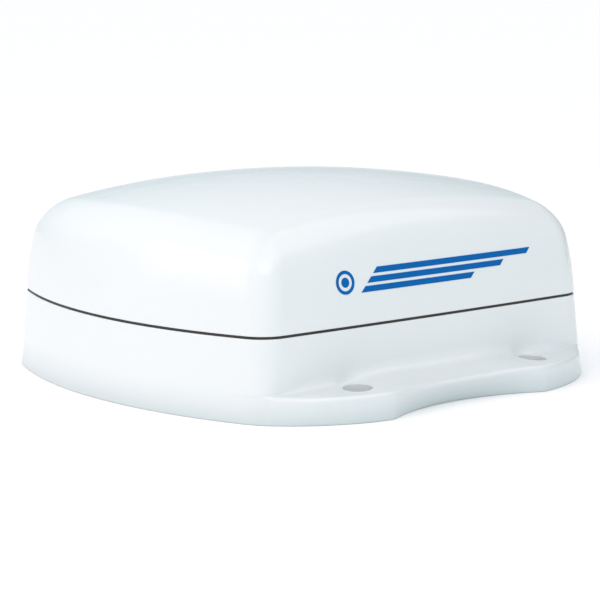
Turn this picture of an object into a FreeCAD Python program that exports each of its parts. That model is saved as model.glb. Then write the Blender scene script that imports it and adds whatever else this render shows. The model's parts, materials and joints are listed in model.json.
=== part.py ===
"""Compact marine radar dome antenna: a low four-cornered radome with a rotating patch array inside.

Millimetres. The origin is the centre of the footprint on the mounting plane, +Z is up and the bow
(the face with the mark) looks along -Y. The housing is symmetric front to back and left to right,
apart from the mark at the bow and the cable inlet aft. Inside, a chassis plate carries a spindle in
two ball bearings, and a motor turns the spindle through one pair of spur gears.
"""
import FreeCAD, Part
import math
import os
from FreeCAD import Vector

os.makedirs("parts", exist_ok=True)

# ---------------------------------------------------------------- housing, driving dimensions
SEAM_Z = 75.0            # height of the joint between the two shells
HALF_WIDTH = 237.0       # half width of the seam outline, at its widest
CORNER_X = 194.0         # half length of the bow and stern faces, between sharp corners
CORNER_Y = 189.5         # distance of those corners from the centre line
BOW_BULGE = 2.6          # how far the bow and stern faces bow outwards
CORNER_R = 31.0          # plan radius of the four corners
SEAM_GAP = 2.4           # open gap between the two shells, filled by the gasket
WALL = 4.0               # shell thickness
RIM_WIDTH = 10.0         # inward flange on each shell, which clamps the gasket
RIM_T = 4.8
GASKET_SET_BACK = 1.2    # how far the gasket lies inside the shells' faces

CROWN_RISE = 115.0       # top of the crown above the seam
CROWN_RX = 1065.0        # radius of the crown across the ship
CROWN_RY = 870.0         # radius of the crown along the ship
LEAN = 0.052             # inward slope of the cover's wall at the seam
LEAN_GROWTH = 0.00151    # how that slope grows with height, per mm
SHOULDER_R = 26.0        # fillet between wall and crown

MARK_X = (-113.0, 124.0) # the mark on the bow face, from left to right
MARK_Z = 104.5           # its lower edge
MARK_H = 21.0
MARK_BARS = (1.0, 0.82, 0.64)    # lengths of its bars

SIDE_FLARE = 5.6         # how far the sides spread from the seam down to the mounting plane
FLOOR = 5.0              # floor thickness of the base
BASE_CORNER_R = 34.0     # plan radius of the corners at the mounting plane

# bow and stern flanges, each with two bolt lobes
TIP = (93.0, -243.5)     # lobe tip
TIP_HEADING = math.radians(6.6)   # direction of the flank at the tip, from the X axis
FLANK_R = 168.0          # plan radius of the lobe's flank
TURN_R = 71.0            # plan radius of the turn from the flank into the side
TURN_R_TOP = 92.0        # the same at the top of the flange block
FLANGE_TOP = 40.0        # height of the flange block before the ledge is cut
FLANGE_ROOT_Y = -150.0   # where the flange block ends inside the base
LEDGE_RIM_Z = 23.0       # height of the flange's outer rim
LEDGE_RISE = 0.08        # slope of the ledge, up towards the wall
SCOOP_DEPTH = 23.9       # hollow between the tips, at the mounting plane
SCOOP_DEPTH_TOP = 1.0    # the same at the top of the flange block
CREASE_R = 11.0          # concave fillet between ledge and wall
CREASE_Y = -189.0        # wall at the foot of the recess
RECESS_HALF = 176.0      # half length of the recess above the ledge

BOLT_X = 109.0           # mounting hole, half spacing across
BOLT_Y = 211.5           # mounting hole, half spacing fore and aft
SOCKET_R = 13.0          # counterbore that takes the bolt head and a socket wrench
SOCKET_FLOOR = 10.0      # height of the counterbore's floor
SLEEVE_RO = 8.0
BOLT_R = 5.5             # clearance hole for M10

COVER_BOSS = (183.5, 173.0)      # cover screw, half spacings
COVER_BOSS_R = 9.0
COVER_SCREW_R = 2.5
COVER_INSERT_R = 4.0
COVER_HEAD_Z = 58.0      # underside of the web that the screw head bears on
COVER_HEAD_R = 4.4
COVER_HEAD_BORE = 5.5    # counterbore that takes the cover screw from below
FIT = 0.02               # radial clearance of a close fit

INLET_Z = 52.0           # cable inlet, on the centre line of the stern
INLET_PAD_R = 18.0
INLET_PAD_Y = 196.0
INLET_BORE_R = 12.0
INLET_THREAD_R = 11.9
INLET_INSERT_R = 10.0
VENT_Y = -120.0
VENT_R = 6.0

# ---------------------------------------------------------------- inside, driving dimensions
CHASSIS = (155.0, 125.0)         # half length and half width of the plate
CHASSIS_Z = 22.0
CHASSIS_TOP = 26.0
CHASSIS_SCREW = (140.0, 110.0)
CHASSIS_SCREW_R = 2.0
CHASSIS_BOSS_R = 8.0

BEARING_RO = 17.5        # 35 x 17 x 10 ball bearings
BEARING_RI = 8.5
BEARING_W = 10.0
BEARING_PITCH_R = 13.0
BALL_R = 2.38
BALL_COUNT = 10
LOWER_BEARING_Z = 28.0
UPPER_BEARING_Z = 50.0
PEDESTAL_R = 26.0
PEDESTAL_TOP = 62.0

GEAR_MODULE = 1.0
MAIN_TEETH = 96
PINION_TEETH = 16
PRESSURE = math.radians(25.0)
BACKLASH = 0.20          # taken off each tooth's thickness at the pitch circle
GEAR_Z = (65.0, 72.0)
MOTOR_X = -GEAR_MODULE * (MAIN_TEETH + PINION_TEETH) / 2.0
MOTOR_HALF = 21.0
MOTOR_Z = (31.0, 58.0)
BRACKET_T = 3.0
SHAFT_R = 2.5

HUB_R = 10.0
HUB_TOP = 76.0           # spindle flange, on which the array stands
FLANGE_T = 5.0
ARRAY_HALF = 160.0       # half length of the patch array
ARRAY_Z = (93.0, 153.0)
ARRAY_FACE_Y = -20.0
PATCH_COLUMNS = 14
PATCH_ROWS = 2

MAIN_BOARD = (-110.0, -120.0, 60.0, -56.0)     # x0, y0, x1, y1
POWER_BOARD = (-70.0, 62.0, 110.0, 118.0)
BOARD_Z = (32.0, 33.6)
MODULE_BOX = (66.0, -48.0, 150.0, 48.0)        # transceiver module
SENSOR_ANGLE = math.radians(60.0)
SENSOR_R = 60.0

# ---------------------------------------------------------------- helpers
def box(x0, y0, z0, x1, y1, z1):
    return Part.makeBox(x1 - x0, y1 - y0, z1 - z0, Vector(x0, y0, z0))


def rod(r, x, y, z0, z1):
    return Part.makeCylinder(r, z1 - z0, Vector(x, y, z0))


def tube(ro, ri, x, y, z0, z1):
    return rod(ro, x, y, z0, z1).cut(rod(ri, x, y, z0 - 1, z1 + 1))


def rod_y(r, x, z, y0, y1):
    return Part.makeCylinder(r, y1 - y0, Vector(x, y0, z), Vector(0, 1, 0))


def prism(points, z0, z1):
    corners = [Vector(x, y, z0) for x, y in points]
    return Part.Face(Part.makePolygon(corners + corners[:1])).extrude(Vector(0, 0, z1 - z0))


def hexagon(across_flats, x, y, z0, z1):
    r = across_flats / math.sqrt(3.0)
    turns = [math.radians(60 * k) for k in range(6)]
    return prism([(x + r * math.cos(a), y + r * math.sin(a)) for a in turns], z0, z1)


def fuse(shapes):
    return shapes[0].multiFuse(shapes[1:]).removeSplitter()


def cut_all(body, tools):
    for tool in tools:
        body = body.cut(tool)
    return body


def four(x, y):
    return [(x, y), (-x, y), (-x, -y), (x, -y)]


def mirrored(shape):
    return shape.mirror(Vector(0, 0, 0), Vector(0, 1, 0))


def save(name, shapes):
    solids = []
    for shape in shapes if isinstance(shapes, list) else [shapes]:
        solids += shape.Solids
    for solid in solids:
        assert solid.isValid() and solid.Volume > 0, name
    made = solids[0] if len(solids) == 1 else Part.makeCompound(solids)
    made.exportStep("parts/" + name + ".step")


# ---------------------------------------------------------------- housing outline
def meet(c1, r1, c2, r2):
    """The point in the quadrant x > 0, y > 0 that lies r1 from c1 and r2 from c2."""
    dx, dy = c2[0] - c1[0], c2[1] - c1[1]
    d = math.hypot(dx, dy)
    a = (r1 * r1 - r2 * r2 + d * d) / (2 * d)
    h = math.sqrt(r1 * r1 - a * a)
    px, py = c1[0] + a * dx / d, c1[1] + a * dy / d
    options = [(px + h * dy / d, py - h * dx / d), (px - h * dy / d, py + h * dx / d)]
    return max(options, key=lambda p: min(p))


def side_circle(side):
    """Centre and radius of the arc that the side face follows, standing side outside the seam outline."""
    sagitta = HALF_WIDTH - CORNER_X
    r = (CORNER_Y ** 2 + sagitta ** 2) / (2 * sagitta)
    return (HALF_WIDTH - r, 0.0), r + side


def toward(centre, r, point):
    d = math.hypot(point[0] - centre[0], point[1] - centre[1])
    return centre[0] + (point[0] - centre[0]) * r / d, centre[1] + (point[1] - centre[1]) * r / d


def outline(side, front, corner_r, z):
    """Closed wire of eight tangent arcs. The faces stand side and front outside the seam outline."""
    front_y = CORNER_Y + BOW_BULGE
    front_r = (CORNER_X ** 2 + BOW_BULGE ** 2) / (2 * BOW_BULGE)
    front_c, front_r = (0.0, front_y - front_r), front_r + front
    side_c, side_r = side_circle(side)
    c = meet(front_c, front_r - corner_r, side_c, side_r - corner_r)
    fx, fy = toward(front_c, front_r, c)
    sx, sy = toward(side_c, side_r, c)
    mid = math.atan2(fy - c[1] + sy - c[1], fx - c[0] + sx - c[0])
    mx, my = c[0] + corner_r * math.cos(mid), c[1] + corner_r * math.sin(mid)
    top_y, side_x = front_c[1] + front_r, side_c[0] + side_r
    stops = [(sx, -sy), (side_x, 0), (sx, sy), (mx, my), (fx, fy), (0, top_y), (-fx, fy), (-mx, my),
             (-sx, sy), (-side_x, 0), (-sx, -sy), (-mx, -my), (-fx, -fy), (0, -top_y), (fx, -fy), (mx, -my)]
    stops = [Vector(x, y, z) for x, y in stops]
    arcs = [Part.Arc(stops[k], stops[k + 1], stops[(k + 2) % 16]).toShape() for k in range(0, 16, 2)]
    return Part.Wire(arcs)


def ring_band(inset_out, inset_in, z0, z1):
    """A band that follows the seam outline, between two insets."""
    outer = Part.Face(outline(-inset_out, -inset_out, CORNER_R - inset_out, z0))
    inner = Part.Face(outline(-inset_in, -inset_in, CORNER_R - inset_in, z0))
    return outer.cut(inner).extrude(Vector(0, 0, z1 - z0))


# ---------------------------------------------------------------- radome cover
def crown_block(top_z):
    """Everything below the crown, whose section is one arc along the ship, swept on another across it."""
    reach = 270.0
    drop = CROWN_RY - math.sqrt(CROWN_RY ** 2 - reach ** 2)
    low = SEAM_Z - 60.0
    a, b = Vector(0, -reach, top_z - drop), Vector(0, reach, top_z - drop)
    arc = Part.Arc(a, Vector(0, 0, top_z), b).toShape()
    foot = [Vector(0, reach, low), Vector(0, -reach, low)]
    sides = [Part.makeLine(b, foot[0]), Part.makeLine(foot[0], foot[1]), Part.makeLine(foot[1], a)]
    section = Part.Face(Part.Wire([arc] + sides))
    axis_at, half_turn = Vector(0, 0, top_z - CROWN_RX), 16.0
    section.rotate(axis_at, Vector(0, 1, 0), -half_turn)
    return section.revolve(axis_at, Vector(0, 1, 0), 2 * half_turn)


def dome_block(skin, start_z, shoulder_r):
    """Solid dome whose surface lies skin inside the cover's outside."""
    low, high = start_z - SEAM_Z, CROWN_RISE + 14.0
    sections = []
    for share in (0.0, 0.25, 0.5, 0.75, 1.0):
        rise = low + share * (high - low)
        inset = skin + LEAN * rise + LEAN_GROWTH * rise * abs(rise)
        sections.append(outline(-inset, -inset, CORNER_R - 0.5 * skin, SEAM_Z + rise))
    wall = Part.makeLoft(sections, True, False)
    block = wall.common(crown_block(SEAM_Z + CROWN_RISE - skin))
    edges = [e for e in block.Edges if e.BoundBox.ZMin > SEAM_Z + 60]
    return block.makeFillet(shoulder_r, edges)


def make_cover():
    low = SEAM_Z + SEAM_GAP / 2
    outside = dome_block(0.0, low, SHOULDER_R)
    shell = outside.cut(dome_block(WALL, low - 1.0, SHOULDER_R - 3.0))
    bosses = [rod(COVER_BOSS_R, x, y, low, 104.0) for x, y in four(*COVER_BOSS)]
    rim = ring_band(1.0, RIM_WIDTH, low, low + RIM_T)
    shell = fuse([shell, rim] + bosses).common(outside)
    return cut_all(shell, [rod(COVER_INSERT_R, x, y, low - 1, low + 14.0) for x, y in four(*COVER_BOSS)])


def make_mark():
    """A ringed disc and three slanting bars of falling length, as a thin film on the bow face."""
    film = dome_block(-0.35, SEAM_Z + 6, SHOULDER_R).cut(dome_block(0.0, SEAM_Z + 5, SHOULDER_R))
    disc_x, disc_r = MARK_X[0] + MARK_H / 2, MARK_H / 2
    disc = rod_y(disc_r, disc_x, MARK_Z + disc_r, -230, -150)
    ring = rod_y(disc_r * 0.72, disc_x, MARK_Z + disc_r, -240, -140)
    shapes = [disc.cut(ring), rod_y(disc_r * 0.42, disc_x, MARK_Z + disc_r, -230, -150)]
    bar_h = MARK_H / (len(MARK_BARS) + (len(MARK_BARS) - 1) * 0.5)
    for row, share in enumerate(MARK_BARS):
        z = MARK_Z + MARK_H - bar_h - 1.5 * bar_h * row
        start = MARK_X[0] + MARK_H + 7.0 + z - MARK_Z
        end = start + (MARK_X[1] - start) * share
        corners = [(start, z), (end, z), (end + bar_h, z + bar_h), (start + bar_h, z + bar_h)]
        corners = [Vector(x, -230, zz) for x, zz in corners]
        shapes.append(Part.Face(Part.makePolygon(corners + corners[:1])).extrude(Vector(0, 80, 0)))
    return [shape.common(film) for shape in shapes]


# ---------------------------------------------------------------- base housing
def wall_block(skin, front_tuck, z0, z1):
    """The base between its four walls. The sides flare downwards."""
    sections = []
    for z in (z0, z1):
        down = (SEAM_Z - z) / SEAM_Z
        corner_r = CORNER_R + (BASE_CORNER_R - CORNER_R) * down - 0.6 * skin
        sections.append(outline(SIDE_FLARE * down - skin, -skin - front_tuck * down, corner_r, z))
    return Part.makeLoft(sections, True, True)


def flange_wire(turn_r, scoop_depth, side_flare, z):
    """Outline of the bow flange: side, turn, flank, scoop and their mirror images, closed inside the base."""
    side_c, side_r = side_circle(side_flare)
    flank_c = (TIP[0] - FLANK_R * math.sin(TIP_HEADING), TIP[1] + FLANK_R * math.cos(TIP_HEADING))
    turn_c = meet((flank_c[0], -flank_c[1]), FLANK_R - turn_r, side_c, side_r - turn_r)
    turn_c = (turn_c[0], -turn_c[1])
    on_side, on_flank = toward(side_c, side_r, turn_c), toward(flank_c, FLANK_R, turn_c)
    start = (math.sqrt(side_r ** 2 - FLANGE_ROOT_Y ** 2) + side_c[0], FLANGE_ROOT_Y)

    def between(centre, r, a, b):
        return toward(centre, r, ((a[0] + b[0]) / 2, (a[1] + b[1]) / 2))

    right = [start, between(side_c, side_r, start, on_side), on_side,
             between(turn_c, turn_r, on_side, on_flank), on_flank,
             between(flank_c, FLANK_R, on_flank, TIP), TIP]
    left = [(-x, y) for x, y in reversed(right)]
    stops = [Vector(x, y, z) for x, y in right + [(0.0, TIP[1] + scoop_depth)] + left]
    edges = [Part.Arc(stops[k], stops[k + 1], stops[k + 2]).toShape() for k in range(0, 14, 2)]
    return Part.Wire(edges + [Part.makeLine(stops[14], stops[0])])


def flange_block():
    """The bow flange up to its sloping ledge. Its sides stay a little inside the walls it joins."""
    tuck = 0.3               # how far inside
    flare = SIDE_FLARE * (SEAM_Z - FLANGE_TOP) / SEAM_Z
    low = flange_wire(TURN_R, SCOOP_DEPTH, SIDE_FLARE - tuck, 0.0)
    high = flange_wire(TURN_R_TOP, SCOOP_DEPTH_TOP, flare - tuck, FLANGE_TOP)
    block = Part.makeLoft([low, high], True, True)
    lead = 10.0
    above = box(-300, 0, 0, 300, 300, 80)
    above.rotate(Vector(0, 0, 0), Vector(1, 0, 0), math.degrees(math.atan(LEDGE_RISE)))
    above.translate(Vector(0, TIP[1] - lead, LEDGE_RIM_Z - lead * LEDGE_RISE))
    return block.cut(above)


def recess_cutter():
    """What is taken from the bow wall above the ledge, with a concave fillet at its foot."""
    foot_z = LEDGE_RIM_Z + LEDGE_RISE * (CREASE_Y - TIP[1])
    out_y, top_z, wall_y = -262.0, SEAM_Z + 0.5, -(CORNER_Y + BOW_BULGE) - 0.2
    lean = math.atan2(CREASE_Y - wall_y, top_z - foot_z)
    slope = math.atan(LEDGE_RISE)
    # the fillet's centre lies CREASE_R from both the ledge and the wall
    half = (math.pi / 2 - slope + lean) / 2
    reach = CREASE_R / math.tan(half)
    on_ledge = (CREASE_Y - reach * math.cos(slope), foot_z - reach * math.sin(slope))
    on_wall = (CREASE_Y - reach * math.sin(lean), foot_z + reach * math.cos(lean))
    centre = (on_ledge[0] + CREASE_R * -math.sin(slope), on_ledge[1] + CREASE_R * math.cos(slope))
    away = math.hypot(CREASE_Y - centre[0], foot_z - centre[1])
    near = (centre[0] + (CREASE_Y - centre[0]) * CREASE_R / away,
            centre[1] + (foot_z - centre[1]) * CREASE_R / away)
    out = (out_y, foot_z + LEDGE_RISE * (out_y - CREASE_Y))
    reach_x = RECESS_HALF + 40.0
    section = (out, on_ledge, near, on_wall, (wall_y, top_z), (out_y, top_z))
    at = [Vector(-reach_x, y, z) for y, z in section]
    edges = [Part.makeLine(at[0], at[1]), Part.Arc(at[1], at[2], at[3]).toShape(), Part.makeLine(at[3], at[4]),
             Part.makeLine(at[4], at[5]), Part.makeLine(at[5], at[0])]
    tool = Part.Face(Part.Wire(edges)).extrude(Vector(2 * reach_x, 0, 0))
    wide, narrow = RECESS_HALF + 36.0, RECESS_HALF - 26.0
    plan = [(-wide, -265.0), (wide, -265.0), (wide, -203.0), (narrow, CREASE_Y + 4), (-narrow, CREASE_Y + 4),
            (-wide, -203.0)]
    return tool.common(prism(plan, 0, 90))


def make_base():
    top = SEAM_Z - SEAM_GAP / 2
    flange = flange_block()
    walls = wall_block(0.0, 0.0, 0.0, top)
    cutter = recess_cutter()
    outside = walls.cut(cutter).cut(mirrored(cutter))
    outside = fuse([outside, flange, mirrored(flange)])
    cavity = wall_block(WALL, 9.0, FLOOR, top + 1.0)
    extras = [ring_band(1.0, RIM_WIDTH, top - RIM_T, top)]
    extras += [rod(COVER_BOSS_R, x, y, 1.0, top) for x, y in four(*COVER_BOSS)]
    extras += [rod(CHASSIS_BOSS_R, x, y, 1.0, CHASSIS_Z) for x, y in four(*CHASSIS_SCREW)]
    extras += [rod_y(INLET_PAD_R, 0, INLET_Z, 180.0, INLET_PAD_Y)]
    body = fuse([outside.cut(cavity)] + extras)
    holes = []
    for x, y in four(BOLT_X, BOLT_Y):
        holes.append(rod(SLEEVE_RO, x, y, -1, SOCKET_FLOOR + 1))
        holes.append(rod(SOCKET_R, x, y, SOCKET_FLOOR, 45.0))
    for x, y in four(*COVER_BOSS):
        holes.append(rod(COVER_HEAD_BORE, x, y, -1, COVER_HEAD_Z))
        holes.append(rod(COVER_SCREW_R + 0.3, x, y, COVER_HEAD_Z - 1, top + 1))
    holes += [rod(CHASSIS_SCREW_R + FIT, x, y, 8.0, CHASSIS_Z + 1) for x, y in four(*CHASSIS_SCREW)]
    holes += [rod_y(INLET_BORE_R, 0, INLET_Z, 170.0, 200.0), rod(VENT_R, 0, VENT_Y, -1, FLOOR + 1)]
    return cut_all(body, holes)


def make_sleeve(x, y):
    return tube(SLEEVE_RO, BOLT_R, x, y, 0.0, SOCKET_FLOOR)


def make_cover_screw(x, y):
    head = rod(COVER_HEAD_R, x, y, COVER_HEAD_Z - 6.0, COVER_HEAD_Z - 1.0)
    shank = rod(COVER_SCREW_R, x, y, COVER_HEAD_Z - 1.0, SEAM_Z + 12.0)
    return fuse([head, shank]).cut(hexagon(4.0, x, y, COVER_HEAD_Z - 7.0, COVER_HEAD_Z - 3.5))


def make_cover_seal(x, y):
    return tube(COVER_HEAD_R + 0.4, COVER_SCREW_R + FIT, x, y, COVER_HEAD_Z - 1.0, COVER_HEAD_Z)


def make_cover_insert(x, y):
    low = SEAM_Z + SEAM_GAP / 2
    return tube(COVER_INSERT_R - FIT, COVER_SCREW_R + FIT, x, y, low, low + 11.0)


def make_vent():
    plug = fuse([rod(VENT_R - FIT, 0, VENT_Y, 0.5, FLOOR), rod(VENT_R + 3, 0, VENT_Y, FLOOR, FLOOR + 2.5)])
    return plug.cut(rod(2.5, 0, VENT_Y, 0, FLOOR + 1.5))


# ---------------------------------------------------------------- cable inlet at the stern
def make_inlet_shell():
    flange_y, inner_y = INLET_PAD_Y + 1.0, 178.0
    shell = fuse([rod_y(INLET_THREAD_R, 0, INLET_Z, inner_y, flange_y + 1),
                  rod_y(INLET_PAD_R - 1, 0, INLET_Z, flange_y, flange_y + 3),
                  rod_y(12.5, 0, INLET_Z, flange_y + 2, flange_y + 12)])
    bores = [rod_y(INLET_INSERT_R, 0, INLET_Z, inner_y + 6, flange_y + 13), rod_y(8.0, 0, INLET_Z, 170, 190)]
    return cut_all(shell, bores)


def make_inlet_pins():
    angles = [math.radians(60 * k) for k in range(6)]
    places = [(0.0, 0.0)] + [(5.0 * math.cos(a), 5.0 * math.sin(a)) for a in angles]
    return [rod_y(0.9, x, INLET_Z + dz, 174.0, 198.0) for x, dz in places]


def make_inlet_insert():
    body = fuse([rod_y(INLET_INSERT_R - FIT, 0, INLET_Z, 184.0, 190.0),
                 rod_y(8.0 - FIT, 0, INLET_Z, 176.0, 184.5)])
    return cut_all(body, make_inlet_pins())


def make_inlet_gasket():
    ring = rod_y(INLET_PAD_R - 2, 0, INLET_Z, INLET_PAD_Y, INLET_PAD_Y + 1)
    return ring.cut(rod_y(INLET_THREAD_R + FIT, 0, INLET_Z, INLET_PAD_Y - 1, INLET_PAD_Y + 2))


def make_inlet_nut():
    """The nut that holds the inlet from inside."""
    nut = hexagon(30.0, 0, 0, 0.0, 5.0).cut(rod(INLET_THREAD_R + FIT, 0, 0, -1, 6))
    nut.rotate(Vector(0, 0, 0), Vector(1, 0, 0), 90)
    nut.translate(Vector(0, 180.0, INLET_Z))
    return nut


# ---------------------------------------------------------------- chassis and bearings
def make_chassis():
    plate = box(-CHASSIS[0], -CHASSIS[1], CHASSIS_Z, CHASSIS[0], CHASSIS[1], CHASSIS_TOP)
    edges = [e for e in plate.Edges if abs(e.BoundBox.ZLength - (CHASSIS_TOP - CHASSIS_Z)) < 0.01]
    plate = plate.makeFillet(12.0, edges).cut(rod(BEARING_RO + 1.0, 0, 0, 0, 40))
    plate = drill(plate, four(*CHASSIS_SCREW), CHASSIS_SCREW_R + 0.2, 0, 40)
    return drill(plate, PEDESTAL_SCREWS, 2.0, 0, 40)


def drill(body, places, r, z0, z1):
    return cut_all(body, [rod(r, x, y, z0, z1) for x, y in places])


def cap_screw(x, y, z, shank_r, length, head_r, head_h):
    """A socket head screw whose head stands on z."""
    body = fuse([rod(head_r, x, y, z, z + head_h), rod(shank_r, x, y, z - length, z + 0.5)])
    return body.cut(hexagon(shank_r * 1.6, x, y, z + head_h * 0.4, z + head_h + 1))


PEDESTAL_SCREWS = four(24.0, 24.0)
STANDOFFS = [(-80.0, 27.0), (-80.0, -27.0), (-34.0, 32.0), (-34.0, -32.0)]
MOTOR_SCREWS = [(MOTOR_X + dx, dy) for dx, dy in four(15.5, 15.5)]
BOARD_POSTS = [(x, y) for x0, y0, x1, y1 in (MAIN_BOARD, POWER_BOARD)
               for x in (x0 + 6, x1 - 6) for y in (y0 + 6, y1 - 6)]
MODULE_SCREWS = [(x, y) for x in (MODULE_BOX[0] + 5, MODULE_BOX[2] - 5)
                 for y in (MODULE_BOX[1] + 5, MODULE_BOX[3] - 5)]
ARRAY_FOOT_SCREWS = four(15.0, 12.0)
HUB_SCREW_PITCH_R = 14.0
HUB_SCREWS = [(HUB_SCREW_PITCH_R * math.cos(math.radians(a)), HUB_SCREW_PITCH_R * math.sin(math.radians(a)))
              for a in (90, 210, 330)]


def make_pedestal():
    body = fuse([rod(42.0, 0, 0, CHASSIS_TOP, CHASSIS_TOP + 4),
                 rod(PEDESTAL_R, 0, 0, CHASSIS_TOP, PEDESTAL_TOP)])
    low_top = LOWER_BEARING_Z + BEARING_W
    body = cut_all(body, [rod(BEARING_RO, 0, 0, 20, low_top), rod(15.5, 0, 0, 20, 70),
                          rod(BEARING_RO, 0, 0, UPPER_BEARING_Z, 70),
                          rod(18.4, 0, 0, UPPER_BEARING_Z + BEARING_W, UPPER_BEARING_Z + BEARING_W + 1.2)])
    return drill(body, PEDESTAL_SCREWS, 2.0, 20, 40)


def race_groove(z):
    return Part.makeTorus(BEARING_PITCH_R, BALL_R + 0.1, Vector(0, 0, z + BEARING_W / 2))


def make_outer_ring(z):
    return tube(BEARING_RO, 14.8, 0, 0, z, z + BEARING_W).cut(race_groove(z))


def make_inner_ring(z):
    return tube(11.2, BEARING_RI, 0, 0, z, z + BEARING_W).cut(race_groove(z))


def make_balls(z):
    turns = [2 * math.pi * k / BALL_COUNT for k in range(BALL_COUNT)]
    middle = z + BEARING_W / 2
    places = [Vector(BEARING_PITCH_R * math.cos(a), BEARING_PITCH_R * math.sin(a), middle) for a in turns]
    return [Part.makeSphere(BALL_R, place) for place in places]


def make_circlip():
    z = UPPER_BEARING_Z + BEARING_W
    return tube(18.4, 15.6, 0, 0, z, z + 1.2).cut(box(-2.5, 10, z - 1, 2.5, 20, z + 3))


# ---------------------------------------------------------------- gears and motor
def involute_angle(r, base_r):
    t = math.sqrt(max(0.0, (r / base_r) ** 2 - 1.0))
    return t - math.atan(t)


def gear(teeth, z0, z1, phase):
    """Spur gear blank with involute flanks, a tooth centred on the angle phase."""
    pitch_r = GEAR_MODULE * teeth / 2.0
    base_r = pitch_r * math.cos(PRESSURE)
    tip_r, root_r = pitch_r + GEAR_MODULE, pitch_r - 1.25 * GEAR_MODULE
    half = math.pi / (2 * teeth) - BACKLASH / (2 * pitch_r) + involute_angle(pitch_r, base_r)
    start_r = max(base_r, root_r)
    radii = [start_r + (tip_r - start_r) * k / 4.0 for k in range(5)]
    flank = [(r, half - involute_angle(r, base_r)) for r in radii]
    root = [(root_r, flank[0][1])] if root_r < base_r else []
    tooth = [(r, -a) for r, a in root + flank] + [(r, a) for r, a in reversed(root + flank)]
    points = []
    for k in range(teeth):
        centre = phase + 2 * math.pi * k / teeth
        points += [(r * math.cos(centre + a), r * math.sin(centre + a)) for r, a in tooth]
    return prism(points, z0, z1)


def make_main_gear():
    body = gear(MAIN_TEETH, GEAR_Z[0], GEAR_Z[1], math.pi)
    web = rod(42.0, 0, 0, GEAR_Z[0] + 5.0, GEAR_Z[1] + 1).cut(rod(18.0, 0, 0, 60, 80))
    body = body.cut(web)
    body = fuse([body, rod(18.0, 0, 0, GEAR_Z[0] - 0.8, HUB_TOP)])
    turns = [math.radians(60 * k + 30) for k in range(6)]
    body = drill(body, [(30.0 * math.cos(a), 30.0 * math.sin(a)) for a in turns], 8.0, 60, 80)
    body = drill(body, HUB_SCREWS, 1.5, HUB_TOP - 8, 80)
    return body.cut(rod(HUB_R + FIT, 0, 0, 60, 80))


def make_pinion():
    body = gear(PINION_TEETH, GEAR_Z[0], GEAR_Z[1] + 1, math.pi / PINION_TEETH)
    body.translate(Vector(MOTOR_X, 0, 0))
    return body.cut(rod(SHAFT_R, MOTOR_X, 0, 60, 80))


def make_motor():
    body = box(MOTOR_X - MOTOR_HALF, -MOTOR_HALF, MOTOR_Z[0], MOTOR_X + MOTOR_HALF, MOTOR_HALF, MOTOR_Z[1])
    edges = [e for e in body.Edges if abs(e.BoundBox.ZLength - (MOTOR_Z[1] - MOTOR_Z[0])) < 0.01]
    body = body.makeChamfer(4.0, edges)
    body = fuse([body, rod(11.0, MOTOR_X, 0, MOTOR_Z[1] - 1, MOTOR_Z[1] + 2.0),
                 box(MOTOR_X - 26, -8, MOTOR_Z[0] + 2, MOTOR_X - 20, 8, MOTOR_Z[0] + 9)])
    body = body.cut(rod(SHAFT_R + 0.05, MOTOR_X, 0, MOTOR_Z[0] + 3, 80))
    return drill(body, MOTOR_SCREWS, 1.5, MOTOR_Z[1] - 6, MOTOR_Z[1] + 1)


def make_motor_bracket():
    low, high = MOTOR_Z[1], MOTOR_Z[1] + BRACKET_T
    plate = box(-88, -38, low, -28, 38, high)
    edges = [e for e in plate.Edges if abs(e.BoundBox.ZLength - BRACKET_T) < 0.01]
    plate = plate.makeFillet(6.0, edges)
    plate = plate.cut(rod(11.0 + FIT, MOTOR_X, 0, low - 1, high + 1))
    plate = drill(plate, MOTOR_SCREWS, 1.6, low - 1, high + 1)
    return drill(plate, STANDOFFS, 2.0, low - 1, high + 1)


def make_motor_standoff(x, y):
    return hexagon(7.0, x, y, CHASSIS_TOP, MOTOR_Z[1]).cut(rod(2.0, x, y, MOTOR_Z[1] - 10, MOTOR_Z[1] + 1))


# ---------------------------------------------------------------- spindle and what turns with it
def make_spindle():
    body = fuse([rod(BEARING_RI - FIT, 0, 0, 21, 61),
                 rod(HUB_R, 0, 0, UPPER_BEARING_Z + BEARING_W, HUB_TOP + 1),
                 rod(24.0, 0, 0, HUB_TOP, HUB_TOP + FLANGE_T)])
    body = drill(body, HUB_SCREWS, 1.6, HUB_TOP - 1, 90)
    body = drill(body, ARRAY_FOOT_SCREWS, 1.5, HUB_TOP + 0.5, 90)
    return body.cut(rod(3.0, 0, 0, 10, 90))


def make_heading_flag():
    a = SENSOR_ANGLE
    arm = box(24.0, -3.0, HUB_TOP + 1.5, SENSOR_R + 2.0, 3.0, HUB_TOP + 3.0)
    arm.rotate(Vector(0, 0, 0), Vector(0, 0, 1), math.degrees(a))
    return arm.cut(rod(24.0, 0, 0, 70, 90))


def make_heading_sensor():
    low, high = HUB_TOP - 6.0, HUB_TOP + 9.0
    fork = box(SENSOR_R - 6, -5, CHASSIS_TOP, SENSOR_R + 8, 5, high)
    fork = fork.cut(box(SENSOR_R - 8, -6, HUB_TOP - 1.0, SENSOR_R + 4, 6, HUB_TOP + 5.5))
    fork = fork.cut(box(SENSOR_R - 8, -6, CHASSIS_TOP + 4, SENSOR_R - 2, 6, low))
    fork.rotate(Vector(0, 0, 0), Vector(0, 0, 1), math.degrees(SENSOR_ANGLE))
    return fork


def make_spindle_nut():
    return hexagon(24.0, 0, 0, 21.5, LOWER_BEARING_Z).cut(rod(BEARING_RI, 0, 0, 10, 40))


def make_joint_stator():
    return rod(10.0, 0, 0, FLOOR, 18.0).cut(rod(3.05, 0, 0, 9.0, 30))


def make_joint_pin():
    return rod(3.0, 0, 0, 10.0, HUB_TOP + FLANGE_T + 4.0)


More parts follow.
